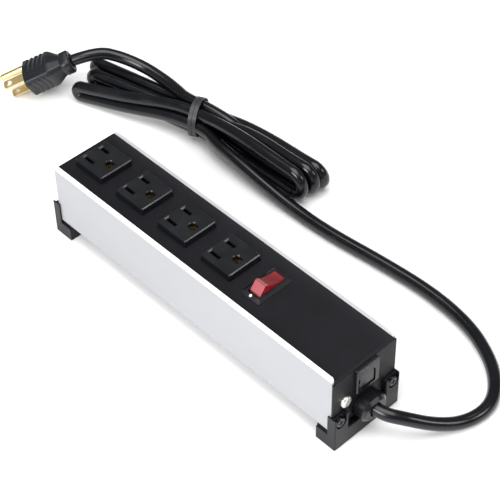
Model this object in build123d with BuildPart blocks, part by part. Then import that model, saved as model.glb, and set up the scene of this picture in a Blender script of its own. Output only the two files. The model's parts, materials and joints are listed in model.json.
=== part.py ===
"""Metal power strip: silver channel body, black top cover, four grounded outlets, lighted rocker
switch, resettable breaker, strain relief, two foot brackets and a cord folded into a tied hank.

Frame: +X along the strip towards the cord end, +Z up, origin at the bottom centre of the feet.
Millimetres throughout."""
from build123d import *
import math
import os

os.makedirs("parts", exist_ok=True)

# ---------------------------------------------------------------- driving dimensions
BODY_LENGTH = 246.0
BODY_WIDTH = 51.0
WALL = 1.3
BODY_BOTTOM = 11.5
WALL_TOP = 59.3
PANEL_TOP = 55.2
SHEET = 1.2
BEND_RADIUS = 1.6

OUTLET_PITCH = 39.2
OUTLET_FIRST_X = -103.9
OUTLET_SIZE = 25.5
OUTLET_TOP = 60.1
BLADE_SPACING = 12.7
GROUND_OFFSET = 11.9
BLADE_SLOT_X = -6.4
SLOT_CHAMFER = 0.9

SWITCH_X = 44.4
SWITCH_AXIS_Z = 49.7
SWITCH_TILT = 17.0

BREAKER_Y = 0.3
BREAKER_Z = 44.0
RESET_TRAVEL = 2.5

BRACKET_WIDTH = 53.4
BRACKET_END = 127.7
FOOT_LENGTH = 15.3
FOOT_HEIGHT = 10.0
EAR_TOP = 26.2
EAR_INNER_Y = 15.6
EAR_DEPTH = 6.4
SCREW_Y = 21.7
SCREW_Z = 21.4

CORD_DIAMETER = 8.5
CORD_EXIT_Z = 20.6
RELIEF_FACE = 134.2

HALF = BODY_LENGTH / 2
OUTER_Y = BODY_WIDTH / 2
INNER_Y = OUTER_Y - WALL
PANEL_BOTTOM = PANEL_TOP - SHEET
FLAP_INSIDE = HALF + 0.1
FLAP_OUTSIDE = FLAP_INSIDE + SHEET
CORD_RADIUS = CORD_DIAMETER / 2
OUTLET_X = [OUTLET_FIRST_X + OUTLET_PITCH * i for i in range(4)]
EMBED = 0.4


def save(part, name):
    """Labels a finished sub-part and writes it to its own file."""
    part.label = name
    export_step(part, f"parts/{name}.step")


def facing_x(x, y, z):
    """Sketch plane that looks towards +X, with its own X along the strip's Y."""
    return Plane((x, y, z), x_dir=(0, 1, 0), z_dir=(1, 0, 0))


# ---------------------------------------------------------------- channel body
LEDGE_DEPTH = 1.5
LEDGE_HEIGHT = 1.6
BOSS_RADIUS = 3.4
SCREW_CLEAR = 1.75

with BuildPart() as channel:
    with BuildSketch(Plane.YZ.offset(-HALF)):
        with BuildLine():
            Polyline(
                (-OUTER_Y, BODY_BOTTOM + 0.8),
                (-OUTER_Y + 0.8, BODY_BOTTOM),
                (OUTER_Y - 0.8, BODY_BOTTOM),
                (OUTER_Y, BODY_BOTTOM + 0.8),
                (OUTER_Y, WALL_TOP - 0.4),
                (OUTER_Y - 0.4, WALL_TOP),
                (INNER_Y + 0.3, WALL_TOP),
                (INNER_Y, WALL_TOP - 0.3),
                (INNER_Y, PANEL_BOTTOM),
                (INNER_Y - LEDGE_DEPTH, PANEL_BOTTOM),
                (INNER_Y - LEDGE_DEPTH, PANEL_BOTTOM - LEDGE_HEIGHT),
                (INNER_Y, PANEL_BOTTOM - LEDGE_HEIGHT - LEDGE_DEPTH),
                (INNER_Y, BODY_BOTTOM + WALL),
                (-INNER_Y, BODY_BOTTOM + WALL),
                (-INNER_Y, PANEL_BOTTOM - LEDGE_HEIGHT - LEDGE_DEPTH),
                (-INNER_Y + LEDGE_DEPTH, PANEL_BOTTOM - LEDGE_HEIGHT),
                (-INNER_Y + LEDGE_DEPTH, PANEL_BOTTOM),
                (-INNER_Y, PANEL_BOTTOM),
                (-INNER_Y, WALL_TOP - 0.3),
                (-INNER_Y - 0.3, WALL_TOP),
                (-OUTER_Y + 0.4, WALL_TOP),
                (-OUTER_Y, WALL_TOP - 0.4),
                close=True,
            )
        make_face()
        with Locations((-SCREW_Y, SCREW_Z), (SCREW_Y, SCREW_Z)):
            Circle(BOSS_RADIUS)
        with Locations((-SCREW_Y - 2.0, SCREW_Z), (SCREW_Y + 2.0, SCREW_Z)):
            Rectangle(3.0, 2.4)
        with Locations((-SCREW_Y, SCREW_Z), (SCREW_Y, SCREW_Z)):
            Circle(SCREW_CLEAR, mode=Mode.SUBTRACT)
    extrude(amount=BODY_LENGTH)
    wall_corners = channel.edges().filter_by(Axis.Y).group_by(Axis.Z)[-1]
    fillet(wall_corners, radius=2.2)
save(channel.part, "channel_body")

# ---------------------------------------------------------------- top cover with folded ends
COVER_HALF_Y = INNER_Y - 0.1
FLAP_HALF_Y = OUTER_Y + 0.1
FLAP_BOTTOM = BODY_BOTTOM + 0.4
FLAP_TOP = PANEL_TOP - BEND_RADIUS
OUTLET_WINDOW = OUTLET_SIZE + 0.3
SWITCH_WINDOW_X = 12.0
SWITCH_WINDOW_Y = 26.2
BREAKER_WINDOW_Y = 15.6
BREAKER_WINDOW_Z = 16.6
RELIEF_WINDOW_Y = 16.4
RELIEF_WINDOW_Z = 12.2
GROUND_SCREW_Y = -16.0
GROUND_SCREW_Z = 33.6

with BuildPart() as cover:
    with BuildSketch(Plane.XZ.offset(-COVER_HALF_Y)):
        with BuildLine():
            Polyline(
                (-FLAP_OUTSIDE, FLAP_BOTTOM),
                (-FLAP_OUTSIDE, PANEL_TOP),
                (FLAP_OUTSIDE, PANEL_TOP),
                (FLAP_OUTSIDE, FLAP_BOTTOM),
                (FLAP_INSIDE, FLAP_BOTTOM),
                (FLAP_INSIDE, PANEL_BOTTOM),
                (-FLAP_INSIDE, PANEL_BOTTOM),
                (-FLAP_INSIDE, FLAP_BOTTOM),
                close=True,
            )
        make_face()
    extrude(amount=2 * COVER_HALF_Y)
    bends = cover.edges().filter_by(Axis.Y).group_by(Axis.Z)[-1]
    fillet(bends, radius=BEND_RADIUS)
    with BuildSketch(Plane.YZ.offset(FLAP_INSIDE)):
        with Locations((0, (FLAP_BOTTOM + FLAP_TOP) / 2)):
            Rectangle(2 * FLAP_HALF_Y, FLAP_TOP - FLAP_BOTTOM)
    extrude(amount=SHEET)
    with BuildSketch(Plane.XY.offset(PANEL_TOP)):
        with Locations(*[(x, 0) for x in OUTLET_X]):
            Rectangle(OUTLET_WINDOW, OUTLET_WINDOW)
        with Locations((SWITCH_X, 0)):
            Rectangle(SWITCH_WINDOW_X, SWITCH_WINDOW_Y)
    extrude(amount=-2 * SHEET, mode=Mode.SUBTRACT)
    with BuildSketch(Plane.YZ.offset(FLAP_INSIDE - 1)):
        with Locations((BREAKER_Y, BREAKER_Z)):
            Rectangle(BREAKER_WINDOW_Y, BREAKER_WINDOW_Z)
        with Locations((0, CORD_EXIT_Z)):
            SlotOverall(RELIEF_WINDOW_Y, RELIEF_WINDOW_Z)
        with Locations((GROUND_SCREW_Y, GROUND_SCREW_Z)):
            Circle(2.1)
    extrude(amount=SHEET + 2, mode=Mode.SUBTRACT)
    with BuildSketch(Plane.YZ.offset(-HALF - 5)):
        with Locations((-SCREW_Y, SCREW_Z), (SCREW_Y, SCREW_Z)):
            Circle(2.0)
    extrude(amount=BODY_LENGTH + 10, mode=Mode.SUBTRACT)
save(cover.part, "top_cover")

# ---------------------------------------------------------------- outlets
FACE_SKIN = 3.0
FACE_WALL = 1.7
FLANGE_SIZE = 28.6
FLANGE_THICKNESS = 1.6
BASE_SIZE = 21.4
BASE_BOTTOM = 38.0
BASE_TOP = OUTLET_TOP - FACE_SKIN
SLOT_WIDTH = 2.3
NEUTRAL_LENGTH = 8.2
HOT_LENGTH = 7.0
GROUND_X = BLADE_SLOT_X + GROUND_OFFSET
GROUND_RADIUS = 2.6
GROUND_FLAT = 3.0
NEUTRAL_Y = -BLADE_SPACING / 2
HOT_Y = BLADE_SPACING / 2


def ground_outline(grow):
    """Round towards the blades, straight sides and a flat end; grow widens it all round."""
    reach = GROUND_FLAT + grow
    radius = GROUND_RADIUS + grow
    with BuildLine() as outline:
        Polyline((0, radius), (reach, radius), (reach, -radius), (0, -radius))
        ThreePointArc((0, -radius), (-radius, 0), (0, radius))
    make_face(outline.edges())


for number, outlet_x in enumerate(OUTLET_X, start=1):
    top_plane = Plane((outlet_x, 0, OUTLET_TOP))
    ground_plane = Plane((outlet_x + GROUND_X, 0, OUTLET_TOP))
    with BuildPart() as face:
        with BuildSketch(Plane((outlet_x, 0, PANEL_BOTTOM - FLANGE_THICKNESS))):
            RectangleRounded(OUTLET_SIZE, OUTLET_SIZE, 1.0)
        extrude(amount=OUTLET_TOP - PANEL_BOTTOM + FLANGE_THICKNESS)
        chamfer(face.faces().sort_by(Axis.Z)[-1].edges(), length=0.6)
        with BuildSketch(Plane((outlet_x, 0, PANEL_BOTTOM - FLANGE_THICKNESS))):
            Rectangle(FLANGE_SIZE, FLANGE_SIZE)
        extrude(amount=FLANGE_THICKNESS)
        with BuildSketch(Plane((outlet_x, 0, PANEL_BOTTOM - FLANGE_THICKNESS))):
            Rectangle(OUTLET_SIZE - 2 * FACE_WALL, OUTLET_SIZE - 2 * FACE_WALL)
        extrude(amount=BASE_TOP - PANEL_BOTTOM + FLANGE_THICKNESS, mode=Mode.SUBTRACT)
        with BuildSketch(top_plane):
            with Locations((BLADE_SLOT_X, NEUTRAL_Y)):
                Rectangle(NEUTRAL_LENGTH, SLOT_WIDTH)
            with Locations((BLADE_SLOT_X, HOT_Y)):
                Rectangle(HOT_LENGTH, SLOT_WIDTH)
        extrude(amount=-FACE_SKIN, mode=Mode.SUBTRACT)
        with BuildSketch(ground_plane):
            ground_outline(0)
        extrude(amount=-FACE_SKIN, mode=Mode.SUBTRACT)
        for slot_y, slot_length in ((NEUTRAL_Y, NEUTRAL_LENGTH), (HOT_Y, HOT_LENGTH)):
            with BuildSketch(Plane((outlet_x + BLADE_SLOT_X, slot_y, OUTLET_TOP))):
                Rectangle(slot_length + 2 * SLOT_CHAMFER, SLOT_WIDTH + 2 * SLOT_CHAMFER)
            with BuildSketch(Plane((outlet_x + BLADE_SLOT_X, slot_y, OUTLET_TOP - SLOT_CHAMFER))):
                Rectangle(slot_length, SLOT_WIDTH)
            loft(mode=Mode.SUBTRACT)
        with BuildSketch(ground_plane):
            ground_outline(0.6)
        with BuildSketch(ground_plane.offset(-0.6)):
            ground_outline(0)
        loft(mode=Mode.SUBTRACT)
    save(face.part, f"outlet_face_{number}")

    with BuildPart() as base:
        with BuildSketch(Plane((outlet_x, 0, BASE_BOTTOM))):
            Rectangle(BASE_SIZE, BASE_SIZE)
        extrude(amount=BASE_TOP - BASE_BOTTOM - 0.1)
        with BuildSketch(Plane((outlet_x, 0, BASE_BOTTOM))):
            with Locations((BLADE_SLOT_X + 0.6, NEUTRAL_Y), (BLADE_SLOT_X + 0.6, HOT_Y)):
                Rectangle(9.4, 4.4)
            with Locations((GROUND_X + 0.1, 0)):
                Rectangle(6.6, 6.6)
        extrude(amount=BASE_TOP - BASE_BOTTOM, mode=Mode.SUBTRACT)
    save(base.part, f"outlet_base_{number}")

# ---------------------------------------------------------------- bus bars and their tray
BUS_THICKNESS = 0.8
BUS_TOP = BASE_BOTTOM - 0.1
BUS_START = OUTLET_X[0] - 12.0
BUS_END = OUTLET_X[3] + 12.0
LEAF = 0.5
LEAF_TOP = 54.5
GROUND_LEAF_TOP = 56.6


BUS_MIDDLE = (BUS_START + BUS_END) / 2
BUS_LENGTH = BUS_END - BUS_START


for pole_name, pole_y in (("neutral_bus_bar", NEUTRAL_Y), ("hot_bus_bar", HOT_Y)):
    with BuildPart() as pole:
        with BuildSketch(Plane.XY.offset(BUS_TOP)):
            with Locations((BUS_MIDDLE, pole_y)):
                Rectangle(BUS_LENGTH, 4.6)
        extrude(amount=-BUS_THICKNESS)
        with BuildSketch(Plane.XY.offset(BUS_TOP - EMBED)):
            for leaf_x in OUTLET_X:
                for leaf_shift in (-1.05, 1.05):
                    with Locations((leaf_x + BLADE_SLOT_X, pole_y + leaf_shift)):
                        Rectangle(6.5, LEAF)
        extrude(amount=LEAF_TOP - BUS_TOP + EMBED)
    save(pole.part, pole_name)

with BuildPart() as ground_bar:
    with BuildSketch(Plane.XY.offset(BUS_TOP)):
        with Locations((BUS_MIDDLE, 0)):
            Rectangle(BUS_LENGTH, 5.9)
    extrude(amount=-BUS_THICKNESS)
    with BuildSketch(Plane.XY.offset(BUS_TOP - EMBED)):
        for leaf_x in OUTLET_X:
            with Locations((leaf_x + GROUND_X - 2.7, 0)):
                Rectangle(LEAF, 5.9)
            for leaf_shift in (-2.7, 2.7):
                with Locations((leaf_x + GROUND_X, leaf_shift)):
                    Rectangle(5.9, LEAF)
    extrude(amount=GROUND_LEAF_TOP - BUS_TOP + EMBED)
save(ground_bar.part, "ground_bus_bar")

TRAY_TOP = BUS_TOP - BUS_THICKNESS - 0.1
with BuildPart() as tray:
    with BuildSketch(Plane.XY.offset(TRAY_TOP)):
        with Locations((BUS_MIDDLE, 0)):
            Rectangle(BUS_LENGTH, 24)
    extrude(amount=-2.4)
    with BuildSketch(Plane.XY.offset(TRAY_TOP - EMBED)):
        for rib_y in (-3.3, 3.3):
            with Locations((BUS_MIDDLE, rib_y)):
                Rectangle(BUS_LENGTH, 0.4)
    extrude(amount=BUS_THICKNESS + EMBED)
save(tray.part, "contact_tray")

# ---------------------------------------------------------------- rocker switch
BEZEL_X = 15.9
BEZEL_Y = 27.4
BEZEL_BOW = 0.4
BEZEL_TOP = 56.7
BEZEL_EDGE = 0.35
CREST_X = 11.9
CREST_Y = 23.9
CREST_SHIFT = 0.6
OPENING_X = 8.8
OPENING_Y = 22.5
SWITCH_BODY_X = 11.6
SWITCH_BODY_Y = 25.8
SWITCH_BOTTOM = 35.5
ROCKER_WIDTH = 8.2
PIN_RADIUS = 1.2


def bowed_outline(size_x, size_y, shift_y):
    """Bezel outline with straight long sides and slightly bowed ends."""
    half_x = size_x / 2
    low_y = shift_y - size_y / 2
    high_y = shift_y + size_y / 2
    with BuildLine() as outline:
        Line((half_x, low_y), (half_x, high_y))
        ThreePointArc((half_x, high_y), (0, high_y + BEZEL_BOW), (-half_x, high_y))
        Line((-half_x, high_y), (-half_x, low_y))
        ThreePointArc((-half_x, low_y), (0, low_y - BEZEL_BOW), (half_x, low_y))
    make_face(outline.edges())


with BuildPart() as switch_housing:
    with BuildSketch(Plane((SWITCH_X, 0, SWITCH_BOTTOM))):
        Rectangle(SWITCH_BODY_X, SWITCH_BODY_Y)
    extrude(amount=PANEL_TOP - SWITCH_BOTTOM + EMBED)
    with BuildSketch(Plane((SWITCH_X, 0, PANEL_TOP + 0.02))):
        bowed_outline(BEZEL_X, BEZEL_Y, 0)
    extrude(amount=BEZEL_EDGE)
    with BuildSketch(Plane((SWITCH_X, 0, PANEL_TOP + 0.02 + BEZEL_EDGE))):
        bowed_outline(BEZEL_X, BEZEL_Y, 0)
    with BuildSketch(Plane((SWITCH_X, 0, BEZEL_TOP))):
        bowed_outline(CREST_X, CREST_Y, CREST_SHIFT)
    loft(ruled=True)
    with BuildSketch(Plane((SWITCH_X, 0, BEZEL_TOP + 1))):
        Rectangle(OPENING_X, OPENING_Y)
    extrude(amount=-(BEZEL_TOP + 1 - 53.0), mode=Mode.SUBTRACT)
    with BuildSketch(Plane((SWITCH_X, 0, SWITCH_BOTTOM + 1.6))):
        Rectangle(OPENING_X, OPENING_Y + 1.0)
    extrude(amount=53.0 - SWITCH_BOTTOM - 1.6, mode=Mode.SUBTRACT)
    with BuildSketch(facing_x(SWITCH_X - 10, 0, SWITCH_AXIS_Z)):
        Circle(PIN_RADIUS + 0.05)
    extrude(amount=20, mode=Mode.SUBTRACT)
    with BuildSketch(Plane((SWITCH_X, 0, SWITCH_BOTTOM - 1))):
        with Locations((0, -8), (0, 0), (0, 8)):
            Rectangle(5.0, 1.2)
    extrude(amount=4, mode=Mode.SUBTRACT)
save(switch_housing.part, "switch_housing")

rocker_plane = Plane(
    (SWITCH_X - ROCKER_WIDTH / 2, 0, SWITCH_AXIS_Z),
    x_dir=Vector(0, 1, 0).rotate(Axis.X, -SWITCH_TILT),
    z_dir=(1, 0, 0),
)
with BuildPart() as rocker:
    with BuildSketch(rocker_plane):
        with BuildLine():
            Polyline(
                (8.0, 10.5),
                (10.6, 3.9),
                (9.0, -1.2),
                (2.6, -3.6),
                (-2.6, -3.6),
                (-9.0, -1.2),
                (-10.6, 3.9),
                (-8.0, 10.5),
            )
            ThreePointArc((-8.0, 10.5), (0, 9.3), (8.0, 10.5))
        make_face()
        Circle(PIN_RADIUS, mode=Mode.SUBTRACT)
    extrude(amount=ROCKER_WIDTH)
    ridges = rocker.edges().filter_by(Axis.X).group_by(Axis.Z)[-1]
    fillet(ridges, radius=0.35)
save(rocker.part, "switch_rocker")

with BuildPart() as rocker_pin:
    with BuildSketch(facing_x(SWITCH_X - SWITCH_BODY_X / 2 + 0.1, 0, SWITCH_AXIS_Z)):
        Circle(PIN_RADIUS)
    extrude(amount=SWITCH_BODY_X - 0.2)
save(rocker_pin.part, "rocker_pin")

with BuildPart() as lamp:
    with BuildSketch(Plane((SWITCH_X, -5.0, SWITCH_BOTTOM + 4.2), x_dir=(1, 0, 0), z_dir=(0, 1, 0))):
        Circle(1.9)
    extrude(amount=10)
    fillet(lamp.edges(), radius=1.2)
save(lamp.part, "neon_lamp")

with BuildPart() as switch_tabs:
    with BuildSketch(Plane((SWITCH_X, 0, SWITCH_BOTTOM + 1.6))):
        with Locations((0, -8), (0, 0), (0, 8)):
            Rectangle(4.8, 0.8)
    extrude(amount=-9.0)
save(switch_tabs.part, "switch_terminals")

# ---------------------------------------------------------------- breaker with reset button
BEZEL_FACE = FLAP_OUTSIDE + 2.7
BREAKER_WIDTH = 18.4
BREAKER_HEIGHT = 18.6
BREAKER_BACK = FLAP_INSIDE - 26.0
BUTTON_WIDTH = 11.0
BUTTON_HEIGHT = 11.6
BUTTON_Z = BREAKER_Z - 1.6
BUTTON_ROUND = 3.4
BUTTON_CLEAR = 0.15
BUTTON_BACK = FLAP_INSIDE - 5.0
BUTTON_FACE = BEZEL_FACE - 0.7


def button_outline(grow):
    """Arch-topped outline of the reset button, with grow added all round."""
    half_w = BUTTON_WIDTH / 2 + grow
    half_h = BUTTON_HEIGHT / 2 + grow
    round_y = half_w - BUTTON_ROUND
    round_z = half_h - BUTTON_ROUND
    lift = BUTTON_ROUND * math.sqrt(0.5)
    with BuildLine() as outline:
        Line((-half_w, round_z), (-half_w, -half_h))
        Line((-half_w, -half_h), (half_w, -half_h))
        Line((half_w, -half_h), (half_w, round_z))
        ThreePointArc((half_w, round_z), (round_y + lift, round_z + lift), (round_y, half_h))
        Line((round_y, half_h), (-round_y, half_h))
        ThreePointArc((-round_y, half_h), (-round_y - lift, round_z + lift), (-half_w, round_z))
    make_face(outline.edges())


with BuildPart() as breaker:
    with BuildSketch(facing_x(FLAP_OUTSIDE + 0.02, BREAKER_Y, BREAKER_Z)):
        RectangleRounded(BREAKER_WIDTH, BREAKER_HEIGHT, 1.0)
    extrude(amount=BEZEL_FACE - FLAP_OUTSIDE - 0.02)
    chamfer(breaker.faces().sort_by(Axis.X)[-1].edges(), length=0.7)
    with BuildSketch(facing_x(BREAKER_BACK, BREAKER_Y, BREAKER_Z)):
        Rectangle(BREAKER_WINDOW_Y - 0.3, BREAKER_WINDOW_Z - 0.3)
    extrude(amount=FLAP_OUTSIDE - BREAKER_BACK + EMBED)
    with BuildSketch(facing_x(BEZEL_FACE + 1, BREAKER_Y, BUTTON_Z)):
        button_outline(BUTTON_CLEAR)
    extrude(amount=-(BEZEL_FACE + 1 - BUTTON_BACK + 0.1), mode=Mode.SUBTRACT)
    with BuildSketch(facing_x(BEZEL_FACE + 1, BREAKER_Y, BUTTON_Z)):
        Circle(3.0)
    extrude(amount=-(BEZEL_FACE + 1 - BUTTON_BACK + 12.0), mode=Mode.SUBTRACT)
    with BuildSketch(facing_x(BEZEL_FACE + 1, BREAKER_Y - 7.6, BREAKER_Z + 1.0)):
        SlotOverall(3.4, 1.2, rotation=90)
    extrude(amount=-2.2, mode=Mode.SUBTRACT)
save(breaker.part, "breaker_housing")

with BuildPart() as reset_button:
    with BuildSketch(facing_x(BUTTON_BACK, BREAKER_Y, BUTTON_Z)):
        button_outline(0)
    extrude(amount=BUTTON_FACE - BUTTON_BACK)
    front_edges = reset_button.faces().sort_by(Axis.X)[-1].edges()
    chamfer(front_edges, length=0.5)
save(reset_button.part, "reset_button")

SPRING_RADIUS = 2.1
SPRING_WIRE = 0.5
SPRING_LENGTH = 9.0
with BuildPart() as breaker_spring:
    with BuildLine():
        coil = Helix(
            pitch=1.8,
            height=SPRING_LENGTH,
            radius=SPRING_RADIUS,
            center=(BUTTON_BACK - 1.2 - SPRING_LENGTH, BREAKER_Y, BUTTON_Z),
            direction=(1, 0, 0),
        )
    with BuildSketch(Plane(coil @ 0, z_dir=coil % 0)):
        Circle(SPRING_WIRE / 2)
    sweep(is_frenet=True)
save(breaker_spring.part, "breaker_spring")

with BuildPart() as breaker_tabs:
    with BuildSketch(facing_x(BREAKER_BACK - 8.0, BREAKER_Y, BREAKER_Z)):
        with Locations((-4.5, 4.0), (4.5, 4.0)):
            Rectangle(0.8, 6.3)
    extrude(amount=7.9)
save(breaker_tabs.part, "breaker_terminals")

# ---------------------------------------------------------------- strain relief and inner cord end
RELIEF_WIDTH = 20.6
RELIEF_HEIGHT = 15.6
RELIEF_RECESS = 4.8
RELIEF_BACK = FLAP_INSIDE - 13.0
CORD_START = RELIEF_FACE - RELIEF_RECESS

with BuildPart() as relief:
    with BuildSketch(facing_x(FLAP_OUTSIDE + 0.02, 0, CORD_EXIT_Z)):
        SlotOverall(RELIEF_WIDTH, RELIEF_HEIGHT)
    extrude(amount=RELIEF_FACE - FLAP_OUTSIDE - 0.02)
    chamfer(relief.faces().sort_by(Axis.X)[-1].edges(), length=2.0)
    with BuildSketch(facing_x(RELIEF_BACK, 0, CORD_EXIT_Z)):
        SlotOverall(RELIEF_WINDOW_Y - 0.4, RELIEF_WINDOW_Z - 0.4)
    extrude(amount=FLAP_OUTSIDE - RELIEF_BACK + EMBED)
    with BuildSketch(facing_x(RELIEF_BACK - 1, 0, CORD_EXIT_Z)):
        Circle(CORD_RADIUS + 0.1)
    extrude(amount=RELIEF_FACE - RELIEF_BACK + 2, mode=Mode.SUBTRACT)
    with BuildSketch(facing_x(CORD_START, 0, CORD_EXIT_Z)):
        Circle(CORD_RADIUS + 0.5)
    extrude(amount=RELIEF_RECESS + 1, mode=Mode.SUBTRACT)
save(relief.part, "strain_relief")

INNER_CORD_END = RELIEF_BACK - 6.0
with BuildPart() as inner_cord:
    with BuildSketch(facing_x(INNER_CORD_END, 0, CORD_EXIT_Z)):
        Circle(CORD_RADIUS)
    extrude(amount=CORD_START - INNER_CORD_END)
save(inner_cord.part, "cord_inner_end")

# ---------------------------------------------------------------- inner wires
WIRE_RADIUS = 1.4
WIRE_BEND = 2.4
WIRE_START = INNER_CORD_END - 0.2
BUS_FEED = BUS_END + 0.3
BUS_Z = BUS_TOP - BUS_THICKNESS / 2
TAB_Z = SWITCH_BOTTOM - 7.7


def wire(points, name):
    """A short insulated conductor along straight runs with rounded corners."""
    with BuildPart() as conductor:
        with BuildLine() as path:
            FilletPolyline(*points, radius=WIRE_BEND)
        with BuildSketch(Plane(path.line @ 0, z_dir=path.line % 0)):
            Circle(WIRE_RADIUS)
        sweep()
    save(conductor.part, name)


wire(
    [
        (WIRE_START, 2.2, CORD_EXIT_Z + 1.3),
        (97.0, 2.2, CORD_EXIT_Z + 1.3),
        (86.0, 6.0, 26.0),
        (80.0, 4.8, 38.0),
        (80.0, 4.8, BREAKER_Z + 4.0),
        (BREAKER_BACK - 8.3, 4.8, BREAKER_Z + 4.0),
    ],
    "line_wire",
)
wire(
    [
        (BREAKER_BACK - 8.3, -4.2, BREAKER_Z + 4.0),
        (78.0, -4.2, BREAKER_Z + 4.0),
        (68.0, -5.0, 34.0),
        (56.0, -8.0, 24.5),
        (SWITCH_X, -8.0, 24.0),
        (SWITCH_X, -8.0, SWITCH_BOTTOM - 7.8),
    ],
    "breaker_wire",
)
wire(
    [
        (SWITCH_X, 0, SWITCH_BOTTOM - 7.8),
        (SWITCH_X, 0, 24.0),
        (37.5, 6.3, 24.0),
        (35.0, 6.3, 32.0),
        (32.0, 6.3, BUS_Z),
        (BUS_FEED, 6.3, BUS_Z),
    ],
    "switched_wire",
)
wire(
    [
        (WIRE_START, -2.2, CORD_EXIT_Z + 1.3),
        (97.0, -2.2, CORD_EXIT_Z + 1.3),
        (86.0, -14.0, 19.0),
        (42.0, -14.0, 19.0),
        (35.0, -8.0, 28.0),
        (32.0, -6.3, BUS_Z),
        (BUS_FEED, -6.3, BUS_Z),
    ],
    "neutral_wire",
)
wire(
    [
        (WIRE_START, 0, CORD_EXIT_Z - 2.4),
        (96.0, 0, CORD_EXIT_Z - 2.4),
        (84.0, 2.0, 16.5),
        (42.0, 2.0, 16.5),
        (34.0, 0, 26.0),
        (32.0, 0, BUS_Z),
        (BUS_FEED, 0, BUS_Z),
    ],
    "ground_wire",
)

# ---------------------------------------------------------------- foot brackets and screws
NOTCH_RADIUS = 4.1
NOTCH_DEPTH = 2.2
HEAD_RADIUS = 3.6
HEAD_HEIGHT = 1.9
EAR_FRONT = FLAP_OUTSIDE + 0.1
CAVITY_Y = FLAP_HALF_Y + 0.15

for side, bracket_name in ((1, "foot_bracket_near"), (-1, "foot_bracket_far")):
    with BuildPart() as bracket:
        with BuildSketch(Plane.XZ.offset(-BRACKET_WIDTH / 2)):
            with BuildLine():
                Polyline(
                    (side * (BRACKET_END - FOOT_LENGTH), 0),
                    (side * BRACKET_END, 0),
                    (side * BRACKET_END, EAR_TOP),
                    (side * (BRACKET_END - EAR_DEPTH), EAR_TOP),
                    (side * (BRACKET_END - EAR_DEPTH), FOOT_HEIGHT),
                    (side * (BRACKET_END - FOOT_LENGTH), FOOT_HEIGHT),
                    close=True,
                )
            make_face()
        extrude(amount=BRACKET_WIDTH)
        with BuildSketch(Plane((side * (BRACKET_END - FOOT_LENGTH / 2), 0, FOOT_HEIGHT - EMBED))):
            Rectangle(FOOT_LENGTH, 2 * CAVITY_Y)
        extrude(amount=BODY_BOTTOM - FOOT_HEIGHT + EMBED - 0.02)
        with BuildSketch(Plane.XY.offset(BODY_BOTTOM - 0.02)):
            with Locations((side * EAR_FRONT / 2, 0)):
                Rectangle(EAR_FRONT, 2 * CAVITY_Y)
        extrude(amount=EAR_TOP, mode=Mode.SUBTRACT)
        with BuildSketch(facing_x(side * BRACKET_END, 0, 0)):
            with Locations((0, EAR_TOP)):
                Rectangle(2 * EAR_INNER_Y, 2 * (EAR_TOP - BODY_BOTTOM - 0.9))
        extrude(amount=-side * (BRACKET_END - EAR_FRONT + 1), mode=Mode.SUBTRACT)
        outer_edges = bracket.faces().sort_by(Axis.X)[-1 if side > 0 else 0].edges()
        chamfer(outer_edges, length=0.5)
        with BuildSketch(facing_x(side * BRACKET_END, 0, 0)):
            with Locations((-SCREW_Y, SCREW_Z), (SCREW_Y, SCREW_Z)):
                Circle(NOTCH_RADIUS)
            with Locations((-SCREW_Y, EAR_TOP), (SCREW_Y, EAR_TOP)):
                Rectangle(2 * NOTCH_RADIUS, 2 * (EAR_TOP - SCREW_Z))
        extrude(amount=-side * NOTCH_DEPTH, mode=Mode.SUBTRACT)
        with BuildSketch(facing_x(side * BRACKET_END, 0, 0)):
            with Locations((-SCREW_Y, SCREW_Z), (SCREW_Y, SCREW_Z)):
                Circle(1.9)
        extrude(amount=-side * 8, mode=Mode.SUBTRACT)
    save(bracket.part, bracket_name)

with BuildPart() as bracket_screws:
    for side in (-1, 1):
        for screw_y in (-SCREW_Y, SCREW_Y):
            seat = side * (BRACKET_END - NOTCH_DEPTH)
            with BuildSketch(facing_x(seat, screw_y, SCREW_Z)):
                Circle(HEAD_RADIUS)
            extrude(amount=side * HEAD_HEIGHT)
            with BuildSketch(facing_x(seat, screw_y, SCREW_Z)):
                Circle(SCREW_CLEAR - 0.05)
            extrude(amount=-side * 13.4)
    heads = bracket_screws.faces().filter_by(Axis.X).group_by(Axis.X)
    chamfer(heads[-1].edges(), length=0.6)
    chamfer(heads[0].edges(), length=0.6)
    for side in (-1, 1):
        for screw_y in (-SCREW_Y, SCREW_Y):
            with BuildSketch(facing_x(side * (BRACKET_END + 1), screw_y, SCREW_Z)):
                Rectangle(3.8, 0.9)
                Rectangle(0.9, 3.8)
            extrude(amount=-side * 2.2, mode=Mode.SUBTRACT)
save(bracket_screws.part, "bracket_screws")

with BuildPart() as ground_screw:
    with BuildSketch(facing_x(FLAP_OUTSIDE + 0.02, GROUND_SCREW_Y, GROUND_SCREW_Z)):
        Circle(4.0)
    extrude(amount=2.2)
    fillet(ground_screw.faces().sort_by(Axis.X)[-1].edges(), radius=1.5)
    with BuildSketch(facing_x(FLAP_OUTSIDE + 0.3, GROUND_SCREW_Y, GROUND_SCREW_Z)):
        Circle(1.95)
    extrude(amount=-9.0)
    with BuildSketch(facing_x(FLAP_OUTSIDE + 5, GROUND_SCREW_Y, GROUND_SCREW_Z)):
        Rectangle(5.6, 1.1, rotation=60)
    extrude(amount=-3.9, mode=Mode.SUBTRACT)
save(ground_screw.part, "ground_screw")

with BuildPart() as ground_nut:
    with BuildSketch(facing_x(FLAP_INSIDE - 3.4, GROUND_SCREW_Y, GROUND_SCREW_Z)):
        RegularPolygon(3.6, 6)
        Circle(2.0, mode=Mode.SUBTRACT)
    extrude(amount=2.4)
save(ground_nut.part, "ground_nut")

# ---------------------------------------------------------------- cord lead, hank and tail
CORD_FLOOR = CORD_RADIUS + 0.1
TUBE_ARC = 0.45

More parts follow.
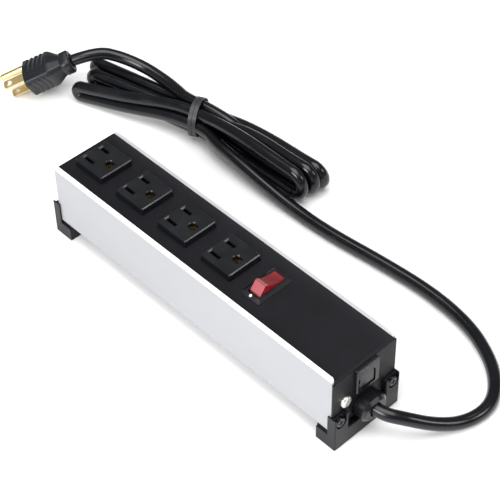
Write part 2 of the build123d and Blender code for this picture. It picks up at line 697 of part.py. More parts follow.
LEAD_ROUTE = [
    (CORD_START, 0, CORD_EXIT_Z),
    (138.6, 0, CORD_EXIT_Z),
    (147.8, 9.0, 15.4),
    (157.2, 22.0, 8.2),
    (167.0, 35.5, CORD_FLOOR),
    (172.4, 49.0, CORD_FLOOR),
    (170.0, 63.0, CORD_FLOOR),
    (160.0, 76.0, CORD_FLOOR),
    (145.0, 87.6, CORD_FLOOR),
    (120.0, 98.4, CORD_FLOOR),
    (86.0, 102.6, CORD_FLOOR),
    (46.0, 100.2, CORD_FLOOR),
    (6.0, 95.4, CORD_FLOOR),
    (-25.0, 94.8, CORD_FLOOR),
]
TAIL_ROUTE = [
    (-145.0, 108.6, 21.2),
    (-170.0, 109.4, 21.8),
    (-193.0, 106.4, 24.6),
    (-209.5, 97.2, 30.0),
    (-219.0, 86.8, 34.6),
    (-229.9, 71.6, 28.0),
]


def cord_tube(route, name):
    """Plain tube of the cord's own size: straight runs joined by arcs as large as they allow."""
    points = [Vector(*place) for place in route]
    radii = []
    for before, corner, after in zip(points, points[1:], points[2:]):
        turn = (corner - before).get_angle(after - corner)
        shorter = min((corner - before).length, (after - corner).length)
        radii.append(TUBE_ARC * shorter / math.tan(math.radians(turn / 2)))
    with BuildPart() as tube:
        with BuildLine() as path:
            FilletPolyline(*points, radius=radii)
        with BuildSketch(Plane(path.line @ 0, z_dir=path.line % 0)):
            Circle(CORD_RADIUS)
        sweep()
    length = sum(edge.length for edge in path.edges())
    ratio = tube.part.volume / (math.pi * CORD_RADIUS**2 * length)
    print(name, "length", round(length, 1), "radii", [round(r) for r in radii], "volume ratio", round(ratio, 4))
    save(tube.part, name)


cord_tube(LEAD_ROUTE, "cord_lead")
cord_tube(TAIL_ROUTE, "cord_tail")

TIE_X = -134.0
TIE_Y = 105.2
TIE_Z = 13.9
TIE_YAW = 28.0
TIE_WIDTH = 5.8
TIE_SHEET = 0.75
WAIST = 25.8
TIE_LONG = 27.2

with BuildPart() as hank:
    for hank_x, hank_y, hank_width, hank_bottom, hank_top, hank_round in (
        (-27.0, 109.6, 38.5, 0.05, 28.3, 8.0),
        (-75.0, 110.0, 37.0, 0.05, 27.0, 8.0),
        (TIE_X, TIE_Y, WAIST, TIE_Z - WAIST / 2, TIE_Z + WAIST / 2, 12.6),
        (-160.0, 100.0, 26.5, 0.05, 17.4, 8.0),
        (-198.0, 88.5, 31.0, 0.05, 18.6, 7.0),
        (-215.0, 84.5, 33.0, 0.05, 19.5, 7.0),
        (-235.0, 80.5, 33.0, 0.05, 14.5, 7.0),
    ):
        with BuildSketch(facing_x(hank_x, hank_y, (hank_top + hank_bottom) / 2)):
            RectangleRounded(hank_width, hank_top - hank_bottom, hank_round)
    loft(ruled=True)
save(hank.part, "cord_hank")

tie_plane = Plane(
    (TIE_X, TIE_Y, TIE_Z),
    x_dir=Vector(0, 1, 0).rotate(Axis.Z, TIE_YAW),
    z_dir=Vector(1, 0, 0).rotate(Axis.Z, TIE_YAW),
)
with BuildPart() as cord_tie:
    for band_shift in (-TIE_WIDTH / 4, TIE_WIDTH / 4):
        with BuildSketch(tie_plane.offset(band_shift - TIE_WIDTH / 4)):
            Ellipse(TIE_LONG / 2 + TIE_SHEET, WAIST / 2 + TIE_SHEET)
            Ellipse(TIE_LONG / 2, WAIST / 2, mode=Mode.SUBTRACT)
        extrude(amount=TIE_WIDTH / 2)
    with BuildSketch(tie_plane.offset(-0.25)):
        Ellipse(TIE_LONG / 2 + TIE_SHEET + 1, WAIST / 2 + TIE_SHEET + 1)
        Ellipse(TIE_LONG / 2 + TIE_SHEET - 0.4, WAIST / 2 + TIE_SHEET - 0.4, mode=Mode.SUBTRACT)
    extrude(amount=0.5, mode=Mode.SUBTRACT)
save(cord_tie.part, "cord_tie")

# ---------------------------------------------------------------- plug on the cord's end
PLUG_FACE = Vector(-248.7, 45.4, 13.8)
PLUG_YAW = math.radians(-125.7)
PLUG_PITCH = math.radians(-23.8)
PLUG_ROLL = math.radians(18.9)
PLUG_LENGTH = 35.2
COLLAR_START = 28.4
COLLAR_SIZE = 15.0
BLADE_LENGTH = 16.1
BLADE_WIDTH = 6.35
BLADE_THICKNESS = 1.5
BLADE_HOLE_AT = 11.9
PIN_LENGTH = 20.3
PIN_DIAMETER = 4.8

plug_forward = Vector(
    math.cos(PLUG_YAW) * math.cos(PLUG_PITCH),
    math.sin(PLUG_YAW) * math.cos(PLUG_PITCH),
    math.sin(PLUG_PITCH),
)
plug_level = plug_forward.cross(Vector(0, 0, 1)).normalized()
plug_rise = plug_level.cross(plug_forward)
plug_up = plug_level * math.cos(PLUG_ROLL) + plug_rise * math.sin(PLUG_ROLL)
plug_across = plug_up.cross(plug_forward)


def plug_section(back):
    """Plane across the plug, a given distance behind its face; its own Y points to the earth pin."""
    return Plane(PLUG_FACE - plug_forward * back, x_dir=plug_across, z_dir=plug_forward)


def plug_outline(half_width, bottom, band_top, shoulder, top, half_top):
    """Flat-bottomed section with upright sides, then a roof that leans in over the earth pin."""
    with BuildLine() as outline:
        Polyline(
            (-half_width + 2.5, bottom),
            (half_width - 2.5, bottom),
            (half_width, bottom + 2.5),
            (half_width, band_top),
            shoulder,
            (half_top, top),
            (-half_top, top),
            (-shoulder[0], shoulder[1]),
            (-half_width, band_top),
            (-half_width, bottom + 2.5),
            close=True,
        )
    make_face(outline.edges())


with BuildPart() as plug:
    for back, half_width, bottom, band_top, shoulder, top, half_top in (
        (0.0, 9.9, -9.3, 0.8, (7.4, 8.4), 15.6, 3.2),
        (20.0, 10.3, -9.6, 0.8, (7.6, 8.4), 15.2, 3.4),
        (COLLAR_START, 7.6, -7.4, 0.5, (6.6, 5.0), 8.6, 4.0),
    ):
        with BuildSketch(plug_section(back)):
            plug_outline(half_width, bottom, band_top, shoulder, top, half_top)
    loft(ruled=True)
    with BuildSketch(plug_section(PLUG_LENGTH)):
        RectangleRounded(COLLAR_SIZE, COLLAR_SIZE, 4.5)
    extrude(amount=PLUG_LENGTH - COLLAR_START + 0.2)
save(plug.part, "plug_body")

with BuildPart() as plug_blades:
    for blade_side in (-1, 1):
        blade_inner = blade_side * BLADE_SPACING / 2 - BLADE_THICKNESS / 2
        with BuildSketch(Plane(PLUG_FACE + plug_across * blade_inner, x_dir=plug_forward, z_dir=plug_across)):
            RectangleRounded(2 * BLADE_LENGTH, BLADE_WIDTH, 1.7)
            with Locations((-BLADE_LENGTH, 0)):
                Rectangle(2 * BLADE_LENGTH, 2 * BLADE_WIDTH, mode=Mode.SUBTRACT)
            with Locations((BLADE_HOLE_AT, 0)):
                Circle(2.0, mode=Mode.SUBTRACT)
        extrude(amount=BLADE_THICKNESS)
save(plug_blades.part, "plug_blades")

with BuildPart() as plug_pin:
    with BuildSketch(plug_section(0)):
        with Locations((0, GROUND_OFFSET)):
            Circle(PIN_DIAMETER / 2)
    extrude(amount=PIN_LENGTH)
    fillet(plug_pin.edges().group_by(Axis.Y)[0], radius=2.0)
save(plug_pin.part, "plug_ground_pin")
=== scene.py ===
import json
import math

import bmesh
import bpy
from mathutils import Matrix, Vector


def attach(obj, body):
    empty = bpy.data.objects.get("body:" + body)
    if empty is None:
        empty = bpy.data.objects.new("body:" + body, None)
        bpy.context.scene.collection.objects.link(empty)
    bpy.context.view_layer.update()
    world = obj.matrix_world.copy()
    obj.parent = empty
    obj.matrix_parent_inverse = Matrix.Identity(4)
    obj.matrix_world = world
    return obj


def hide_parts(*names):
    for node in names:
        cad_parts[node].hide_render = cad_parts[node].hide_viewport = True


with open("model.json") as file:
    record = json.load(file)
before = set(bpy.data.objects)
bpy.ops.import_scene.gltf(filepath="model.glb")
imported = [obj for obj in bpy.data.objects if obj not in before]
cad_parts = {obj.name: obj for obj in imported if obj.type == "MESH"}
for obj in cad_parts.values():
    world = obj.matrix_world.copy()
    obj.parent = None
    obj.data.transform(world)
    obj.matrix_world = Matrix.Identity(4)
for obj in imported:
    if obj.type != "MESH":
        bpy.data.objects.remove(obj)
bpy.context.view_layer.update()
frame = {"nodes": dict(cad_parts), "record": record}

MM = 0.001
BODY = "strip"
CORD_RADIUS = 4.25 * MM


# ------------------------------------------------------------------ camera
CAMERA_PLACE = (0.50380, -0.43351, 0.72547)
CAMERA_YAW, CAMERA_PITCH, CAMERA_ROLL = -47.27, 44.79, -1.25
FOCAL_LENGTH, SENSOR_WIDTH = 113.19, 36.0
SHIFT_X, SHIFT_Y = -0.0079, -0.0314


def make_camera():
    """A long lens from the cord end, looking down over the silver side."""
    yaw, pitch, roll = (math.radians(angle) for angle in (CAMERA_YAW, CAMERA_PITCH, CAMERA_ROLL))
    ahead = math.cos(pitch)
    forward = Vector((math.sin(yaw) * ahead, math.cos(yaw) * ahead, -math.sin(pitch)))
    level = Vector((math.cos(yaw), -math.sin(yaw), 0))
    rise = level.cross(forward)
    right = level * math.cos(roll) + rise * math.sin(roll)
    up = rise * math.cos(roll) - level * math.sin(roll)
    data = bpy.data.cameras.new("camera")
    data.lens, data.sensor_width = FOCAL_LENGTH, SENSOR_WIDTH
    data.shift_x, data.shift_y = SHIFT_X, SHIFT_Y
    data.clip_start, data.clip_end = 0.05, 20
    camera = bpy.data.objects.new("camera", data)
    bpy.context.scene.collection.objects.link(camera)
    rotation = Matrix((right, up, -forward)).transposed().to_4x4()
    camera.matrix_world = Matrix.Translation(Vector(CAMERA_PLACE)) @ rotation
    bpy.context.scene.camera = camera


make_camera()


# ------------------------------------------------------------------ the cord's line
# All places are in millimetres. The hank lies along HANK_YAW, with its strands in three rows
# where the tie holds them.
TIE = Vector((-134.0, 105.2, 0))
HANK_YAW = math.radians(10.8)
ALONG = Vector((math.cos(HANK_YAW), math.sin(HANK_YAW), 0))
ACROSS = Vector((-math.sin(HANK_YAW), math.cos(HANK_YAW), 0))
ROW_LOW, ROW_MID, ROW_TOP = 6.6, 13.9, 21.2
STRAND_LOW = 4.4
FOLD_STEPS = 7
TIE_REACH = 14
SWELL_START, SWELL_PEAK, NEAR_FOLD, AFTER_FOLD = 0.36, 0.6, 0.86, 0.58

LEAD = [
    (129.4, 0, 20.6),
    (138.6, 0, 20.8),
    (148.2, 8.4, 17.8),
    (158.2, 21.2, 10.4),
    (166.0, 35.5, 4.8),
    (170.4, 49.2, 4.35),
    (169.2, 63.0, 4.35),
    (160.4, 76.4, 4.35),
    (145.2, 88.2, 4.35),
    (120.0, 99.0, 4.35),
    (86.0, 103.0, 4.35),
    (46.0, 100.2, 4.35),
    (6.0, 95.4, 4.35),
    (-25.0, 94.4, 4.6),
    (-52.0, 93.8, 8.4),
    (-82.0, 94.4, 12.6),
    (-106.0, 95.6, 13.6),
]
TAIL = [
    (-158.0, 108.4, 21.2),
    (-173.0, 109.0, 22.0),
    (-193.0, 106.4, 24.6),
    (-209.5, 97.4, 29.6),
    (-219.0, 86.8, 33.6),
    (-229.2, 72.6, 28.4),
]

# How far the incoming strand of a fold stands out from a straight line between the tie and the
# fold, sideways and upwards, by the fold's place in FOLDS.
SWELL = {1: (1.0, 2.0), 3: (3.2, 2.6), 5: (3.0, 0.5)}

# Each fold: the strand's place in the tie on the way in, then the fold's tip, the places of its
# low and high strands and the height of the high one, and whether the cord comes in low or high.
# The last entry is where the cord leaves the tie for the plug.
FOLDS = [
    ((-8.6, ROW_MID), (-221.4, 67.4, 68.0, 12.2), "low"),
    ((-4.3, ROW_TOP), (-31.5, 105.6, 105.2, 24.0), "high"),
    ((-4.3, ROW_LOW), (-223.6, 83.6, 83.6, 14.4), "low"),
    ((0.0, ROW_MID), (-30.4, 116.0, 115.0, 22.5), "high"),
    ((4.3, ROW_LOW), (-231.4, 92.8, 92.6, 14.8), "low"),
    ((8.6, ROW_MID), (-30.0, 125.0, 122.4, 20.0), "high"),
    ((4.3, ROW_TOP), None, None),
]


def tie_point(offset, z):
    return TIE + ACROSS * offset + Vector((0, 0, z))


def fold_points(previous, tip, entry):
    """Control points of one upright fold: in along one strand, round, and back along the other."""
    tip_x, low_y, high_y, high_z = tip
    radius = (high_z - STRAND_LOW) / 2
    centre_z = (high_z + STRAND_LOW) / 2
    middle = Vector((tip_x, (low_y + high_y) / 2, 0))
    inward = (Vector((previous.x, previous.y, 0)) - middle).normalized()
    reach = radius / math.cos(math.pi / (2 * FOLD_STEPS))
    points = []
    for step in range(FOLD_STEPS + 1):
        angle = math.pi * (step - 0.5) / (FOLD_STEPS - 1) - math.pi / 2
        if entry == "high":
            angle = -angle
        share = (math.sin(angle) + 1) / 2
        y_shift = (low_y + (high_y - low_y) * share) - middle.y
        centre = middle + inward * radius + Vector((0, y_shift, centre_z))
        points.append(centre - inward * reach * math.cos(angle) + Vector((0, 0, reach * math.sin(angle))))
    return points


def hank_points():
    """The folded strands, from the lead's last place to the tail's first."""
    points = []
    for index, (place, tip, entry) in enumerate(FOLDS):
        at_tie = tie_point(*place)
        coming = ALONG * (TIE_REACH if index % 2 == 0 else -TIE_REACH)
        points.append(at_tie + coming)
        points.append(at_tie - coming)
        if tip is None:
            continue
        fold = fold_points(at_tie, tip, entry)
        following = tie_point(*FOLDS[index + 1][0])
        inner, outer = fold[0].copy(), fold[-1].copy()
        inner.z = tip[3] if entry == "high" else STRAND_LOW
        outer.z = STRAND_LOW if entry == "high" else tip[3]
        sideways, upwards = SWELL.get(index, (0, 0))
        swell = ACROSS * sideways + Vector((0, 0, upwards))
        if index in SWELL:
            points.append(at_tie.lerp(inner, SWELL_START) + swell)
        points.append(at_tie.lerp(inner, SWELL_PEAK) + swell)
        points.append(at_tie.lerp(inner, NEAR_FOLD) + swell * 0.3)
        points += fold
        points.append(following.lerp(outer, NEAR_FOLD))
        points.append(following.lerp(outer, AFTER_FOLD))
    return points


def make_cord():
    """One smooth tube. Its radius sits on the points, with a bevel of 1, so its box is the tube's."""
    data = bpy.data.curves.new("cord", "CURVE")
    data.dimensions = "3D"
    spline = data.splines.new("NURBS")
    places = [Vector(p) for p in LEAD] + hank_points() + [Vector(p) for p in TAIL]
    spline.points.add(len(places) - 1)
    for point, place in zip(spline.points, places):
        point.co = (*(place * MM), 1.0)
        point.radius = CORD_RADIUS
    spline.order_u = 3
    spline.use_endpoint_u = True
    spline.resolution_u = 8
    data.bevel_depth = 1.0
    data.bevel_resolution = 6
    data.use_fill_caps = True
    cord = bpy.data.objects.new("cord", data)
    bpy.context.scene.collection.objects.link(cord)
    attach(cord, BODY)
    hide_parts("cord_lead", "cord_hank", "cord_tail")
    return cord


cord = make_cord()


# ------------------------------------------------------------------ the plug's moulded body
PLUG_FACE = Vector((-248.7, 45.4, 13.8))
PLUG_YAW, PLUG_PITCH, PLUG_ROLL = (math.radians(a) for a in (-125.7, -23.8, 18.9))
PLUG_FORWARD = Vector((
    math.cos(PLUG_YAW) * math.cos(PLUG_PITCH),
    math.sin(PLUG_YAW) * math.cos(PLUG_PITCH),
    math.sin(PLUG_PITCH),
))
PLUG_LEVEL = PLUG_FORWARD.cross(Vector((0, 0, 1))).normalized()
PLUG_UP = PLUG_LEVEL * math.cos(PLUG_ROLL) + PLUG_LEVEL.cross(PLUG_FORWARD) * math.sin(PLUG_ROLL)
PLUG_ACROSS = PLUG_UP.cross(PLUG_FORWARD)
EDGE_CUT = 2.5
WIDEST_AT, TAPER_START, TAPER_END = 20, 17.5, 30.0
RIB_PITCH, RIB_DEPTH = 3.7, 0.75
RIB_START, RIB_IN, RIB_OUT, RIB_END = 2.0, 3.2, 17.5, 19.5
RIB_BOW = 0.02
ROOF_START, ROOF_FULL = 0.6, 2.2
BASE_START, BASE_FULL = 8.3, 9.0
GRIP_START, COLLAR_START, PLUG_END = 0.5, 28.4, 35.2
COLLAR_EDGE, CORD_SOCKET = 0.9, 2.4
GRIP_STEPS, CORNER_STEPS, SIDE_STEPS = 64, 4, 6


def smooth_step(value, low, high):
    share = min(max((value - low) / (high - low), 0), 1)
    return share * share * (3 - 2 * share)


def house(half_width, bottom, band_top, shoulder, top, half_top):
    """Ten corners of a section: flat bottom, upright sides and a roof over the earth pin."""
    return [
        (-half_width + EDGE_CUT, bottom),
        (half_width - EDGE_CUT, bottom),
        (half_width, bottom + EDGE_CUT),
        (half_width, band_top),
        shoulder,
        (half_top, top),
        (-half_top, top),
        (-shoulder[0], shoulder[1]),
        (-half_width, band_top),
        (-half_width, bottom + EDGE_CUT),
    ]


def round_ring(radius):
    """A ten-cornered ring round a circle, its corners in step with those of a house."""
    corner = radius / math.cos(math.pi / 10)
    angles = [math.radians(-108 + 36 * index) for index in range(10)]
    return [(corner * math.cos(angle), corner * math.sin(angle)) for angle in angles]


def outline(corners, softness):
    """Points round a section: straight stretches joined by a soft curve at each corner."""
    points = []
    for index, corner in enumerate(corners):
        before, here, after = (Vector(corners[(index + shift) % len(corners)]) for shift in (-1, 0, 1))
        start, end = here.lerp(before, softness), here.lerp(after, softness)
        for step in range(CORNER_STEPS + 1):
            share = step / CORNER_STEPS
            points.append(start.lerp(here, share).lerp(here.lerp(end, share), share))
        far = after.lerp(here, softness)
        for step in range(1, SIDE_STEPS):
            points.append(end.lerp(far, step / SIDE_STEPS))
    return points


def plug_place(across, up, back):
    return (PLUG_FACE - PLUG_FORWARD * back + PLUG_ACROSS * across + PLUG_UP * up) * MM


def blend_corners(first, second, share):
    return [Vector(a).lerp(Vector(b), share) for a, b in zip(first, second)]


def plug_rings():
    """The plug's sections from its face to its collar: distance back, corners and softness."""
    front = house(9.9, -9.3, 0.8, (7.4, 8.4), 15.6, 3.2)
    widest = house(10.3, -9.6, 0.8, (7.6, 8.4), 15.2, 3.4)
    neck = house(6.8, -6.6, 0.5, (6.0, 4.4), 7.2, 3.6)
    collar = house(7.4, -7.4, 0.0, (7.4, 4.9), 7.4, 4.9)
    rings = [(0.0, blend_corners(front, round_ring(4.0), 0.08), 0.2)]
    for step in range(GRIP_STEPS + 1):
        back = GRIP_START + (COLLAR_START - GRIP_START) * step / GRIP_STEPS
        body = blend_corners(front, widest, min(back / WIDEST_AT, 1))
        rings.append((back, blend_corners(body, neck, smooth_step(back, TAPER_START, TAPER_END)), 0.16))
    rings += [(COLLAR_START + 0.3, blend_corners(neck, collar, 0.8), 0.45)]
    rings += [(COLLAR_START + COLLAR_EDGE, collar, 0.45), (PLUG_END - COLLAR_EDGE, collar, 0.45)]
    rings += [(PLUG_END - 0.1, blend_corners(collar, round_ring(6.0), 0.3), 0.45)]
    rings += [(PLUG_END, round_ring(5.4), 0.5), (PLUG_END - CORD_SOCKET, round_ring(5.0), 0.5)]
    return rings


def rib_dip(across, up, back):
    """Depth of the finger ribs, which lie on the roof and the flat side and fade at both ends."""
    ribbed = max(smooth_step(up, ROOF_START, ROOF_FULL), smooth_step(-up, BASE_START, BASE_FULL))
    ribbed *= smooth_step(back, RIB_START, RIB_IN)
    ribbed *= 1 - smooth_step(back, RIB_OUT, RIB_END)
    bowed = back + RIB_BOW * across * across
    return RIB_DEPTH * ribbed * (0.5 - 0.5 * math.cos(2 * math.pi * bowed / RIB_PITCH))


def make_plug():
    """Grip with finger ribs on the roof and the flat side, smooth bands between, and a collar."""
    mesh = bpy.data.meshes.new("plug_grip")
    work = bmesh.new()
    loops = []
    for back, corners, softness in plug_rings():
        loop = []
        for across, up in outline(corners, softness):
            inward = Vector((across, up)).normalized() * rib_dip(across, up, back)
            loop.append(work.verts.new(plug_place(across - inward.x, up - inward.y, back)))
        loops.append(loop)
    for loop, following in zip(loops, loops[1:]):
        for index in range(len(loop)):
            onward = (index + 1) % len(loop)
            work.faces.new((loop[index], loop[onward], following[onward], following[index]))
    work.faces.new(loops[0][::-1])
    work.faces.new(loops[-1])
    bmesh.ops.recalc_face_normals(work, faces=work.faces)
    for face in work.faces:
        face.smooth = len(face.verts) == 4
    work.to_mesh(mesh)
    work.free()
    plug = bpy.data.objects.new("plug_grip", mesh)
    bpy.context.scene.collection.objects.link(plug)
    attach(plug, BODY)
    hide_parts("plug_body")
    return plug


plug_grip = make_plug()


# ------------------------------------------------------------------ shader nodes
def scaled(color, factor):
    return tuple(channel * factor for channel in color)


def shader(name, color, roughness, metallic=0.0, **sockets):
    """A new Principled material, with its tree's nodes and links to hand."""
    material = bpy.data.materials.new(name)
    material.use_nodes = True
    nodes, links = material.node_tree.nodes, material.node_tree.links
    principled = nodes["Principled BSDF"]
    principled.inputs["Base Color"].default_value = (*color, 1)
    principled.inputs["Roughness"].default_value = roughness
    principled.inputs["Metallic"].default_value = metallic
    for socket, value in sockets.items():
        principled.inputs[socket.replace("_", " ")].default_value = value
    return material, nodes, links, principled


def noise(nodes, links, scale, detail=3.0, stretch=(1, 1, 1), rough=0.5):
    """Noise over the object's own coordinates, which are in metres."""
    coordinates = nodes.new("ShaderNodeTexCoord")
    mapping = nodes.new("ShaderNodeMapping")
    mapping.inputs["Scale"].default_value = stretch
    texture = nodes.new("ShaderNodeTexNoise")
    texture.inputs["Scale"].default_value = scale
    texture.inputs["Detail"].default_value = detail
    texture.inputs["Roughness"].default_value = rough
    links.new(coordinates.outputs["Object"], mapping.inputs["Vector"])
    links.new(mapping.outputs["Vector"], texture.inputs["Vector"])
    return texture.outputs["Fac"]


def ramp(nodes, links, value, low, high, start=0.3, end=0.7):
    """Value spread between two greys or colours."""
    node = nodes.new("ShaderNodeValToRGB")
    first, last = node.color_ramp.elements
    first.position, last.position = start, end
    first.color = (*low, 1) if isinstance(low, tuple) else (low, low, low, 1)
    last.color = (*high, 1) if isinstance(high, tuple) else (high, high, high, 1)
    links.new(value, node.inputs["Fac"])
    return node.outputs["Color"]


def mottled(nodes, links, value, color, low, high):
    """One colour that varies between two brightnesses."""
    return ramp(nodes, links, value, scaled(color, low), scaled(color, high))


def bump(nodes, links, principled, value, strength, distance):
    node = nodes.new("ShaderNodeBump")
    node.inputs["Strength"].default_value = strength
    node.inputs["Distance"].default_value = distance
    links.new(value, node.inputs["Height"])
    links.new(node.outputs["Normal"], principled.inputs["Normal"])


def axes(nodes, links, kind):
    """X, Y and Z over the object: of the place for "Object", of the face's direction for "Normal"."""
    coordinates = nodes.new("ShaderNodeTexCoord")
    split = nodes.new("ShaderNodeSeparateXYZ")
    links.new(coordinates.outputs[kind], split.inputs["Vector"])
    return split.outputs


def spread(nodes, links, value, low, high):
    """0 at low and before it, 1 at high and past it."""
    node = nodes.new("ShaderNodeMapRange")
    node.inputs["From Min"].default_value = low
    node.inputs["From Max"].default_value = high
    links.new(value, node.inputs["Value"])
    return node.outputs["Result"]


def calculate(nodes, links, operation, first, second):
    """An operation on a socket and either another socket or a number."""
    node = nodes.new("ShaderNodeMath")
    node.operation = operation
    links.new(first, node.inputs[0])
    if isinstance(second, (int, float)):
        node.inputs[1].default_value = second
    else:
        links.new(second, node.inputs[1])
    return node.outputs["Value"]


def mixed(nodes, links, share, first, second):
    node = nodes.new("ShaderNodeMix")
    node.data_type = "RGBA"
    links.new(share, node.inputs["Factor"])
    links.new(first, node.inputs["A"])
    links.new(second, node.inputs["B"])
    return node.outputs["Result"]


# ------------------------------------------------------------------ materials
# Height band of the aluminium walls' top edge that gets a painted highlight, and the facing below which
# the +Y wall's inner face gets painted light.
RIM_START, RIM_END = 0.0552, 0.0556
INNER_FACE = -0.5
MARK_PLACE, MARK_RADIUS = (0.0439, -0.0124), 0.00095
# Facings where the rocker's painted shade on its top and its painted sheen on the -Y end begin.
ROCKER_TOP_START, ROCKER_TOP_END = 0.72, 0.93
ROCKER_FRONT = -0.3


def aluminium():
    """Satin anodised extrusion: long drawn lines and soft mottling.

    The walls' top edge carries a painted highlight, and the +Y wall's inner face is painted brighter as
    painted light on it.
    """
    # The second colour is painted light: a painted highlight on the walls' top edge and painted light on
    # the +Y wall's inner face.
    color, edge = (0.395, 0.399, 0.42), (0.96, 0.96, 0.98)
    material, nodes, links, principled = shader("channel_aluminium", color, 0.4, 0.15)
    lines = noise(nodes, links, 900, 2, (0.02, 1, 1))
    cloud = noise(nodes, links, 14, 3)
    place, facing = axes(nodes, links, "Object"), axes(nodes, links, "Normal")
    rim = spread(nodes, links, place["Z"], RIM_START, RIM_END)
    behind = calculate(nodes, links, "GREATER_THAN", place["Y"], 0)
    inward = calculate(nodes, links, "LESS_THAN", facing["Y"], INNER_FACE)
    inner_face = calculate(nodes, links, "MULTIPLY", behind, inward)
    # bright marks where the painted highlight and painted light go: the top edge band and the +Y wall's
    # inner face.
    bright = calculate(nodes, links, "MAXIMUM", rim, inner_face)
    body = mottled(nodes, links, cloud, color, 0.97, 1.03)
    painted_light = mottled(nodes, links, cloud, edge, 0.96, 1)
    links.new(mixed(nodes, links, bright, body, painted_light), principled.inputs["Base Color"])
    links.new(ramp(nodes, links, lines, 0.36, 0.46), principled.inputs["Roughness"])
    bump(nodes, links, principled, lines, 0.12, 0.0001)
    return material


def moulded(name, color, roughness, grain=2600, depth=0.25, **sockets):
    """Moulded plastic or rubber: fine spark-eroded grain with faint patches of wear."""
    material, nodes, links, principled = shader(name, color, roughness, **sockets)
    fine = noise(nodes, links, grain, 2)
    patches = noise(nodes, links, 60, 4)
    glossy, matt = max(roughness - 0.05, 0.02), roughness + 0.07
    links.new(mottled(nodes, links, patches, color, 0.8, 1.25), principled.inputs["Base Color"])
    links.new(ramp(nodes, links, patches, glossy, matt), principled.inputs["Roughness"])
    bump(nodes, links, principled, fine, depth, 0.00012)
    return material


def powder_coat():
    """Black wrinkle-fine powder coat on sheet metal."""
    name, color = "black_textured_sheet", (0.0048, 0.005, 0.007)
    material, nodes, links, principled = shader(name, color, 0.46, Specular_IOR_Level=0.2)
    grain = noise(nodes, links, 1500, 3, rough=0.6)
    patches = noise(nodes, links, 35, 3)
    links.new(mottled(nodes, links, patches, color, 0.85, 1.3), principled.inputs["Base Color"])
    links.new(ramp(nodes, links, grain, 0.38, 0.56), principled.inputs["Roughness"])
    bump(nodes, links, principled, grain, 0.5, 0.00025)
    return material


def bezel_plastic():
    """The switch's black frame, with one small white mark printed beside the rocker."""
    color = (0.007, 0.007, 0.009)
    material, nodes, links, principled = shader("switch_black_plastic", color, 0.24)
    coordinates = nodes.new("ShaderNodeTexCoord")
    flat = nodes.new("ShaderNodeVectorMath")
    flat.operation = "MULTIPLY"
    flat.inputs[1].default_value = (1, 1, 0)
    away = nodes.new("ShaderNodeVectorMath")
    away.operation = "DISTANCE"
    away.inputs[1].default_value = (*MARK_PLACE, 0)
    links.new(coordinates.outputs["Object"], flat.inputs[0])
    links.new(flat.outputs["Vector"], away.inputs[0])
    mark = spread(nodes, links, away.outputs["Value"], MARK_RADIUS, MARK_RADIUS * 0.8)
    patches = noise(nodes, links, 60, 4)
    black = mottled(nodes, links, patches, color, 0.8, 1.3)
    white = ramp(nodes, links, patches, 0.72, 0.8)
    links.new(mixed(nodes, links, mark, black, white), principled.inputs["Base Color"])
    links.new(ramp(nodes, links, patches, 0.2, 0.3), principled.inputs["Roughness"])
    bump(nodes, links, principled, noise(nodes, links, 3000, 2), 0.1, 0.00012)
    return material


def metal(name, color, roughness, depth=0.08):
    """Plated or stamped metal with fine tool marks and a trace of tarnish."""
    material, nodes, links, principled = shader(name, color, roughness, 1.0)
    marks = noise(nodes, links, 1400, 2)
    tarnish = noise(nodes, links, 220, 4)
    polished, dull = max(roughness - 0.06, 0.04), roughness + 0.08
    links.new(mottled(nodes, links, tarnish, color, 0.82, 1), principled.inputs["Base Color"])
    links.new(ramp(nodes, links, marks, polished, dull), principled.inputs["Roughness"])
    bump(nodes, links, principled, marks, depth, 0.00006)
    return material


def clear_red():
    """Translucent red rocker, polished: bright red sides, a -Y end made paler by a painted sheen and a
    top made darker by painted shade.
    """
    color, painted_sheen_tone, painted_shade_tone = (0.62, 0.010, 0.028), (0.52, 0.13, 0.15), (0.19, 0.014, 0.018)
    glass = {"Transmission_Weight": 0.3, "IOR": 1.49, "Coat_Weight": 0.6, "Coat_Roughness": 0.06}
    material, nodes, links, principled = shader("rocker_red_clear", color, 0.12, **glass)
    depth = noise(nodes, links, 160, 3)
    facing = axes(nodes, links, "Normal")
    # Painted light by facing: faces towards -Y take a paler painted sheen, and upward faces take a darker
    # painted shade.
    front = calculate(nodes, links, "LESS_THAN", facing["Y"], ROCKER_FRONT)
    upward = ramp(nodes, links, facing["Z"], 0.0, 1.0, ROCKER_TOP_START, ROCKER_TOP_END)
    sides = mottled(nodes, links, depth, color, 0.85, 1.15)
    end = mottled(nodes, links, depth, painted_sheen_tone, 1, 1.2)
    top = mottled(nodes, links, depth, painted_shade_tone, 0.8, 1.5)
    sides_and_end = mixed(nodes, links, front, sides, end)
    links.new(mixed(nodes, links, upward, sides_and_end, top), principled.inputs["Base Color"])
    links.new(ramp(nodes, links, depth, 0.08, 0.18), principled.inputs["Roughness"])
    return material


def lamp_glass():
    color = (0.95, 0.8, 0.7)
    material, nodes, links, principled = shader("lamp_glass", color, 0.08, Transmission_Weight=0.8)
    grain = noise(nodes, links, 400)
    links.new(ramp(nodes, links, grain, 0.05, 0.14), principled.inputs["Roughness"])
    return material


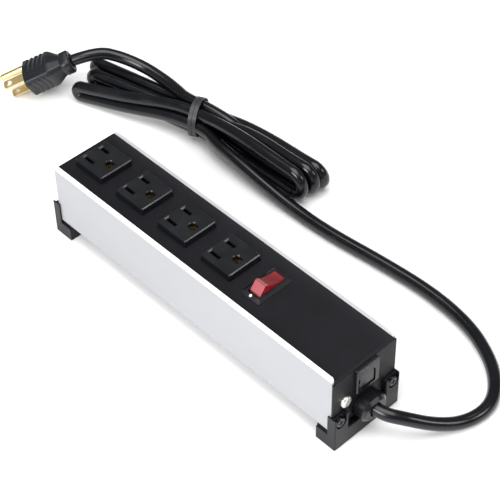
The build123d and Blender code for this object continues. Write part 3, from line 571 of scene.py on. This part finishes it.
# Colour, roughness, scale of the grain and depth of its bumps. SHINE is the specular level.
MOULDED = {
    "outlet_black_plastic": ((0.0055, 0.006, 0.0078), 0.28, 3200, 0.1),
    "inner_plastic": ((0.028, 0.028, 0.03), 0.55),
    "breaker_black_plastic": ((0.006, 0.006, 0.008), 0.22, 3000, 0.08),
    "relief_black_plastic": ((0.006, 0.006, 0.007), 0.2, 3000, 0.06),
    "cord_jacket": ((0.0036, 0.0039, 0.0055), 0.2, 500, 0.006),
    "wire_black": ((0.015, 0.015, 0.016), 0.4),
    "wire_white": ((0.78, 0.78, 0.75), 0.42),
    "wire_green": ((0.03, 0.26, 0.08), 0.42),
    "bracket_black": ((0.006, 0.0063, 0.0085), 0.4, 2200, 0.2),
    "tie_grey": ((0.028, 0.0255, 0.031), 0.45, 1600, 0.2),
    "plug_black_plastic": ((0.0075, 0.0084, 0.011), 0.36, 2400, 0.12),
}
SHINE = {"cord_jacket": 0.42, "bracket_black": 0.25, "plug_black_plastic": 0.4}
USUAL_SHINE = 0.5

# Colour, roughness and depth of the tool marks.
METALS = {
    "contact_brass": ((1.0, 0.78, 0.36), 0.34, 0.002),
    "steel_bright": ((0.62, 0.62, 0.63), 0.28),
    "screw_black": ((0.06, 0.06, 0.065), 0.3),
    "screw_nickel": ((0.9, 0.88, 0.82), 0.3),
}

SLOT_MATERIALS = {
    "channel_aluminium": aluminium(),
    "black_textured_sheet": powder_coat(),
    "switch_black_plastic": bezel_plastic(),
    "rocker_red_clear": clear_red(),
    "lamp_glass": lamp_glass(),
}
for slot, finish in MOULDED.items():
    SLOT_MATERIALS[slot] = moulded(slot, *finish, Specular_IOR_Level=SHINE.get(slot, USUAL_SHINE))
for slot, finish in METALS.items():
    SLOT_MATERIALS[slot] = metal(slot, *finish)


def dress(obj, slot):
    """Gives a piece or a CAD node its slot's material alone."""
    obj.data.materials.clear()
    obj.data.materials.append(SLOT_MATERIALS[slot])


for subpart in frame["record"]["subparts"]:
    dress(frame["nodes"][subpart["node"]], subpart["material_slot"])
dress(cord, "cord_jacket")
dress(plug_grip, "plug_black_plastic")


# ------------------------------------------------------------------ floor and light
FLOOR_REACH, FLOOR_GAP = 6.0, 0.0002
WORLD_STRENGTH = 0.24

# Each light's name, place, the point that it faces, its side in metres and its power in watts.
LIGHTS = [
    ("top", (0.1, -0.1, 2.2), (0, 0, 0.03), 2.0, 56),
    ("key", (0.3, -1.8, 1.1), (0, 0, 0.03), 1.0, 40),
    ("rim", (1.5, 0.9, 1.2), (0.1, 0.03, 0.03), 0.6, 8),
]


def make_floor():
    mesh = bpy.data.meshes.new("floor")
    corners = [(x * FLOOR_REACH, y * FLOOR_REACH, 0) for x, y in ((-1, -1), (1, -1), (1, 1), (-1, 1))]
    mesh.from_pydata(corners, [], [(0, 1, 2, 3)])
    floor = bpy.data.objects.new("floor", mesh)
    bpy.context.scene.collection.objects.link(floor)
    material, nodes, links, principled = shader("floor", (0.93, 0.93, 0.935), 0.9)
    cloud = noise(nodes, links, 3, 2)
    links.new(ramp(nodes, links, cloud, 0.92, 0.94), principled.inputs["Base Color"])
    floor.data.materials.append(material)
    floor.location.z = -FLOOR_GAP


def area_light(name, place, target, size, power):
    data = bpy.data.lights.new(name, "AREA")
    data.shape, data.size, data.energy = "SQUARE", size, power
    light = bpy.data.objects.new(name, data)
    light.location = place
    light.rotation_euler = (Vector(target) - Vector(place)).to_track_quat("-Z", "Y").to_euler()
    bpy.context.scene.collection.objects.link(light)


def make_world():
    world = bpy.data.worlds.new("studio")
    world.use_nodes = True
    background = world.node_tree.nodes["Background"]
    background.inputs["Color"].default_value = (1, 1, 1, 1)
    background.inputs["Strength"].default_value = WORLD_STRENGTH
    bpy.context.scene.world = world


make_floor()
make_world()
for light in LIGHTS:
    area_light(*light)
bpy.context.scene.view_settings.view_transform = "Standard"

bpy.context.view_layer.update()
